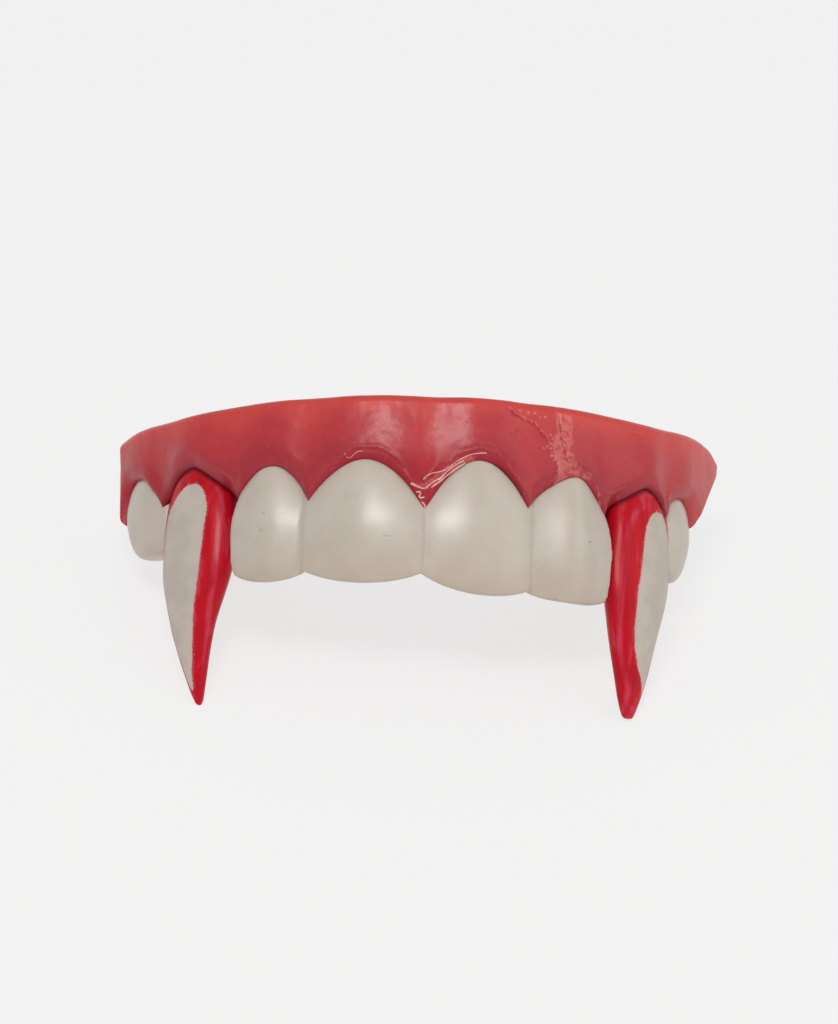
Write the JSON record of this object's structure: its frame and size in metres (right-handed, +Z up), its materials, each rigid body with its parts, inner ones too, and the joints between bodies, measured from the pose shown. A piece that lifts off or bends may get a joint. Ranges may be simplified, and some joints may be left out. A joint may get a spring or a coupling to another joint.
{
  "type": "vampire fang denture",
  "caption": "Costume upper denture: a red gum arch with cream front teeth, long fangs painted with blood, and a fitting trough behind the teeth.",
  "frame": {"origin": "centre of the bounding box, on the surface that the fang tips and the heels of the gum stand on", "axes": "+X to the denture's left as its wearer has it, which is the right of its front view; +Y to the back of the arch; +Z up. The denture leans back by 49.2 degrees, so the rim of its gum points up and back, and its teeth point down and forward"},
  "size_m": [0.0668, 0.0312, 0.0303],
  "materials": {
    "gum": "glossy tinted resin",
    "teeth": "pearly cream resin",
    "fangs": "cream resin brushed with glossy blood red paint"
  },
  "bodies": {
    "root": {"gum_base": "gum", "incisor_strip": "teeth", "fang_left": "fangs", "fang_right": "fangs", "premolar_left": "teeth", "premolar_right": "teeth"}
  },
  "joints": []
}
